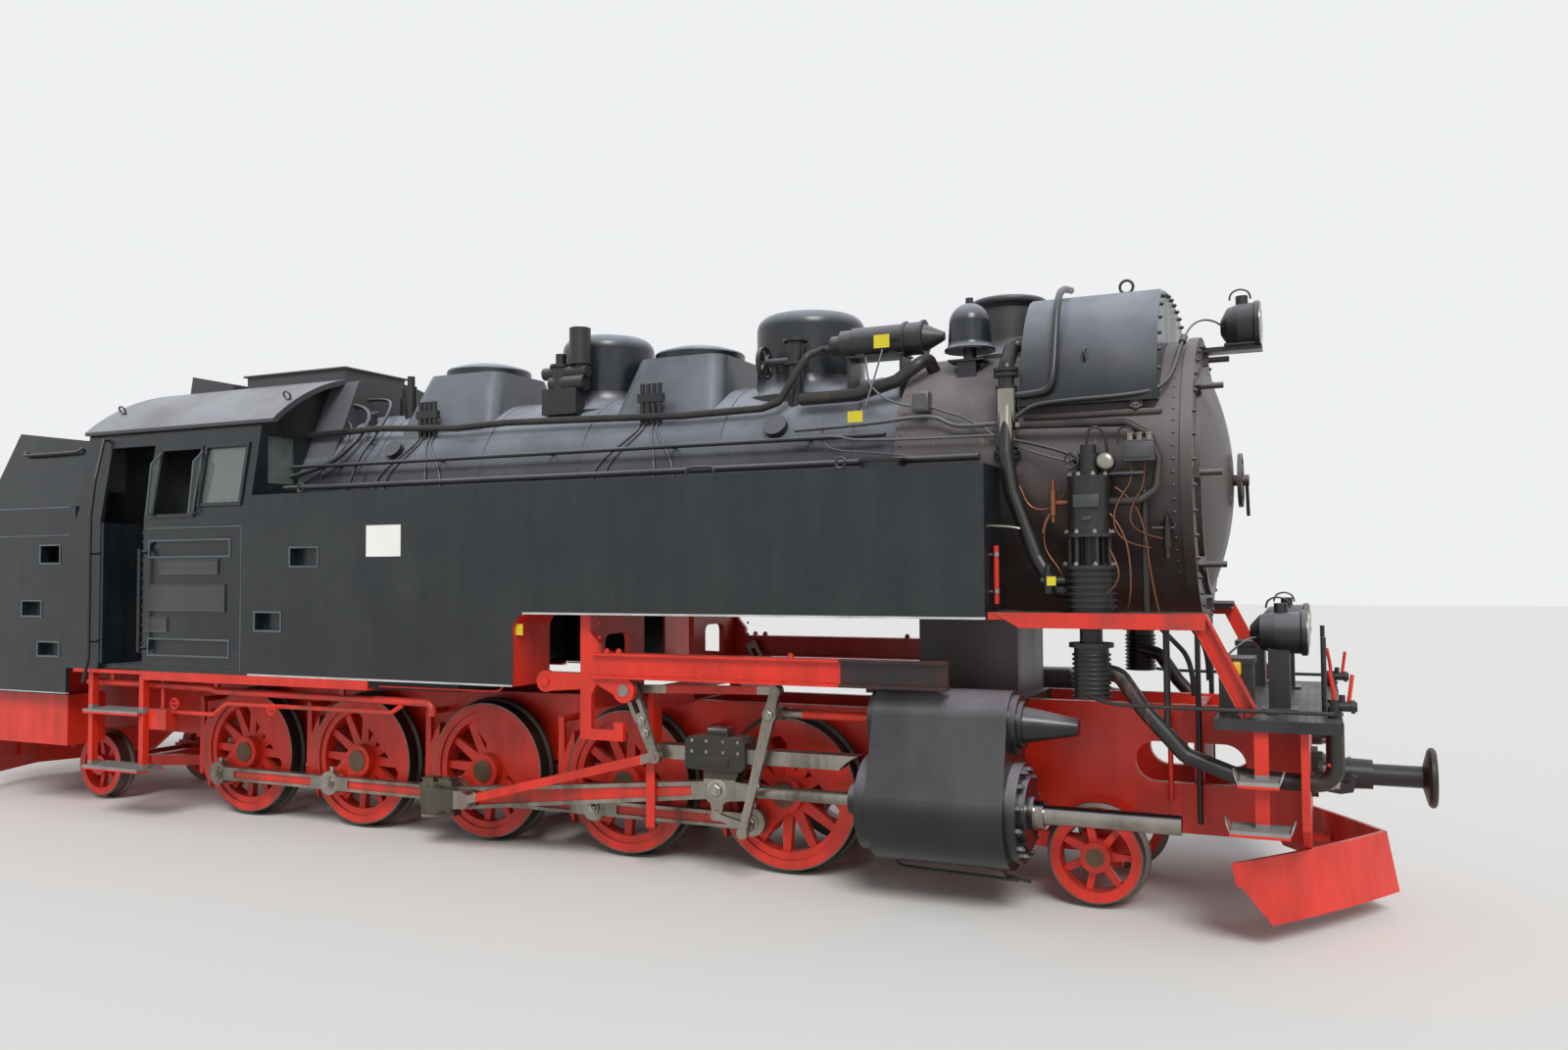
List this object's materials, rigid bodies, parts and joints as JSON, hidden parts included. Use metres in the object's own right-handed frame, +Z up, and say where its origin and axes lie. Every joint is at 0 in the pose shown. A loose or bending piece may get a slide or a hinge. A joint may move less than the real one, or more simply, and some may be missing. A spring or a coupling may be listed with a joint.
{
  "type": "narrow-gauge tank locomotive",
  "caption": "Narrow-gauge steam tank locomotive with coupled driving wheels, outside cylinders and valve gear, side tanks, cab and rear bunker.",
  "frame": {"origin": "middle of the engine's length and width on the level of the flange tips, under the driven axle", "axes": "+X to the chimney end, +Y to the engine's left, +Z up"},
  "size_m": [12.5, 2.598, 3.8179],
  "materials": {
    "black_paint": "gloss",
    "red_paint": "gloss",
    "bare_steel": "oily satin",
    "tyre_steel": "worn",
    "cast_black": "satin",
    "window_glass": "clear"
  },
  "bodies": {
    "chassis": {"backhead": "black_paint", "bell": "cast_black", "boiler": "black_paint", "boiler_fittings": "cast_black", "brake_gear": "red_paint", "buffer_beams": "red_paint", "bunker": "black_paint", "cab_floor": "black_paint", "cab_glass": "window_glass", "cab_roof": "black_paint", "cab_walls": "black_paint", "chimney": "cast_black", "couplings": "cast_black", "cylinders": "black_paint", "domes": "black_paint", "feedwater_heater": "black_paint", "generator": "cast_black", "guide_bars": "bare_steel", "handrails": "black_paint", "headlamps": "black_paint", "main_frame": "red_paint", "motion_brackets": "red_paint", "pipes": "black_paint", "ploughs": "red_paint", "pumps": "cast_black", "radius_rods": "bare_steel", "running_boards": "black_paint", "side_sills": "red_paint", "side_tanks": "black_paint", "smokebox": "black_paint", "steps": "black_paint"},
    "axle_1": {"wheelset_1": "red_paint", "tyres_1": "tyre_steel"},
    "axle_2": {"wheelset_2": "red_paint", "tyres_2": "tyre_steel"},
    "axle_3": {"wheelset_3": "red_paint", "tyres_3": "tyre_steel"},
    "axle_4": {"wheelset_4": "red_paint", "tyres_4": "tyre_steel"},
    "axle_5": {"wheelset_5": "red_paint", "tyres_5": "tyre_steel"},
    "side_rod_right": {"side_rod_right": "red_paint"},
    "main_rod_right": {"main_rod_right": "red_paint"},
    "crosshead_right": {"crosshead_right": "bare_steel"},
    "expansion_link_right": {"expansion_link_right": "bare_steel"},
    "eccentric_rod_right": {"eccentric_rod_right": "bare_steel"},
    "combination_lever_right": {"combination_lever_right": "bare_steel"},
    "cab_door_right": {"cab_door_right": "black_paint"},
    "side_rod_left": {"side_rod_left": "red_paint"},
    "main_rod_left": {"main_rod_left": "red_paint"},
    "crosshead_left": {"crosshead_left": "bare_steel"},
    "expansion_link_left": {"expansion_link_left": "bare_steel"},
    "eccentric_rod_left": {"eccentric_rod_left": "bare_steel"},
    "combination_lever_left": {"combination_lever_left": "bare_steel"},
    "cab_door_left": {"cab_door_left": "black_paint"},
    "lead_truck": {"lead_truck": "red_paint"},
    "lead_axle": {"lead_wheelset": "red_paint"},
    "trail_truck": {"trail_truck": "red_paint"},
    "trail_axle": {"trail_wheelset": "red_paint"},
    "smokebox_door": {"smokebox_door": "black_paint"}
  },
  "joints": [
    {"name": "axle_3_spin", "type": "hinge", "parent": "chassis", "child": "axle_3", "pos_m": [0, 0, 0.528], "axis": [0, 1, 0], "continuous": true},
    {"name": "axle_1_spin", "type": "hinge", "parent": "chassis", "child": "axle_1", "pos_m": [2.448, 0, 0.528], "axis": [0, 1, 0], "continuous": true},
    {"name": "axle_2_spin", "type": "hinge", "parent": "chassis", "child": "axle_2", "pos_m": [1.224, 0, 0.528], "axis": [0, 1, 0], "continuous": true},
    {"name": "axle_4_spin", "type": "hinge", "parent": "chassis", "child": "axle_4", "pos_m": [-1.224, 0, 0.528], "axis": [0, 1, 0], "continuous": true},
    {"name": "axle_5_spin", "type": "hinge", "parent": "chassis", "child": "axle_5", "pos_m": [-2.448, 0, 0.528], "axis": [0, 1, 0], "continuous": true},
    {"name": "side_rod_right_pin", "type": "hinge", "parent": "axle_3", "child": "side_rod_right", "pos_m": [-0.18461, -0.7, 0.35942], "axis": [0, 1, 0], "continuous": true},
    {"name": "side_rod_left_pin", "type": "hinge", "parent": "axle_3", "child": "side_rod_left", "pos_m": [0.16858, 0.7, 0.34339], "axis": [0, 1, 0], "continuous": true},
    {"name": "crosshead_right_slide", "type": "slide", "parent": "chassis", "child": "crosshead_right", "axis": [1, 0, 0], "range_m": [-0.0548, 0.4454]},
    {"name": "main_rod_right_pin", "type": "hinge", "parent": "crosshead_right", "child": "main_rod_right", "pos_m": [2.11385, -0.88, 0.59], "axis": [0, 1, 0], "range_deg": [-2.03, 10.4]},
    {"name": "expansion_link_right_trunnion", "type": "hinge", "parent": "chassis", "child": "expansion_link_right", "pos_m": [1.518, -1.012, 1.22], "axis": [0, 1, 0], "range_deg": [-11.59, 37.22]},
    {"name": "eccentric_rod_right_pin", "type": "hinge", "parent": "expansion_link_right", "child": "eccentric_rod_right", "pos_m": [1.69903, -1.012, 0.79104], "axis": [0, 1, 0], "range_deg": [-37.32, 11.69]},
    {"name": "combination_lever_right_pin", "type": "hinge", "parent": "chassis", "child": "combination_lever_right", "pos_m": [2.522, -1, 1.095], "axis": [0, 1, 0], "range_deg": [-33.11, 4.16]},
    {"name": "crosshead_left_slide", "type": "slide", "parent": "chassis", "child": "crosshead_left", "axis": [1, 0, 0], "range_m": [-0.4063, 0.0939]},
    {"name": "main_rod_left_pin", "type": "hinge", "parent": "crosshead_left", "child": "main_rod_left", "pos_m": [2.46537, 0.88, 0.59], "axis": [0, 1, 0], "range_deg": [-1.63, 10.8]},
    {"name": "expansion_link_left_trunnion", "type": "hinge", "parent": "chassis", "child": "expansion_link_left", "pos_m": [1.518, 1.012, 1.22], "axis": [0, 1, 0], "range_deg": [-5.09, 43.71]},
    {"name": "eccentric_rod_left_pin", "type": "hinge", "parent": "expansion_link_left", "child": "eccentric_rod_left", "pos_m": [1.74641, 1.012, 0.81427], "axis": [0, 1, 0], "range_deg": [-43.81, 5.19]},
    {"name": "combination_lever_left_pin", "type": "hinge", "parent": "chassis", "child": "combination_lever_left", "pos_m": [2.522, 1, 1.095], "axis": [0, 1, 0], "range_deg": [-7.06, 30.22]},
    {"name": "lead_truck_pivot", "type": "hinge", "parent": "chassis", "child": "lead_truck", "pos_m": [3.35, 0, 0.33], "axis": [0, 0, 1], "range_deg": [-3.5, 3.5]},
    {"name": "lead_axle_spin", "type": "hinge", "parent": "lead_truck", "child": "lead_axle", "pos_m": [4.434, 0, 0.303], "axis": [0, 1, 0], "continuous": true},
    {"name": "trail_truck_pivot", "type": "hinge", "parent": "chassis", "child": "trail_truck", "pos_m": [-3.25, 0, 0.33], "axis": [0, 0, 1], "range_deg": [-3.5, 3.5]},
    {"name": "trail_axle_spin", "type": "hinge", "parent": "trail_truck", "child": "trail_axle", "pos_m": [-4.267, 0, 0.303], "axis": [0, 1, 0], "continuous": true},
    {"name": "cab_door_right_hinge", "type": "hinge", "parent": "chassis", "child": "cab_door_right", "pos_m": [-3.411, -1.213, 2.14], "axis": [0, 0, 1], "range_deg": [-90, 0]},
    {"name": "cab_door_left_hinge", "type": "hinge", "parent": "chassis", "child": "cab_door_left", "pos_m": [-3.411, 1.213, 2.14], "axis": [0, 0, 1], "range_deg": [0, 90]},
    {"name": "smokebox_door_hinge", "type": "hinge", "parent": "chassis", "child": "smokebox_door", "pos_m": [5.086, 0.76, 2.53], "axis": [0, 0, 1], "range_deg": [0, 120]}
  ],
  "couplings": [
    {"joint": "axle_1_spin", "follows": "axle_3_spin", "ratio": 1},
    {"joint": "axle_2_spin", "follows": "axle_3_spin", "ratio": 1},
    {"joint": "axle_4_spin", "follows": "axle_3_spin", "ratio": 1},
    {"joint": "axle_5_spin", "follows": "axle_3_spin", "ratio": 1},
    {"joint": "side_rod_right_pin", "follows": "axle_3_spin", "ratio": -1},
    {"joint": "side_rod_left_pin", "follows": "axle_3_spin", "ratio": -1},
    {"joint": "eccentric_rod_right_pin", "follows": "expansion_link_right_trunnion", "ratio": -1},
    {"joint": "combination_lever_right_pin", "follows": "crosshead_right_slide", "rad_per_m": -1.2937},
    {"joint": "eccentric_rod_left_pin", "follows": "expansion_link_left_trunnion", "ratio": -1},
    {"joint": "combination_lever_left_pin", "follows": "crosshead_left_slide", "rad_per_m": -1.2937}
  ]
}
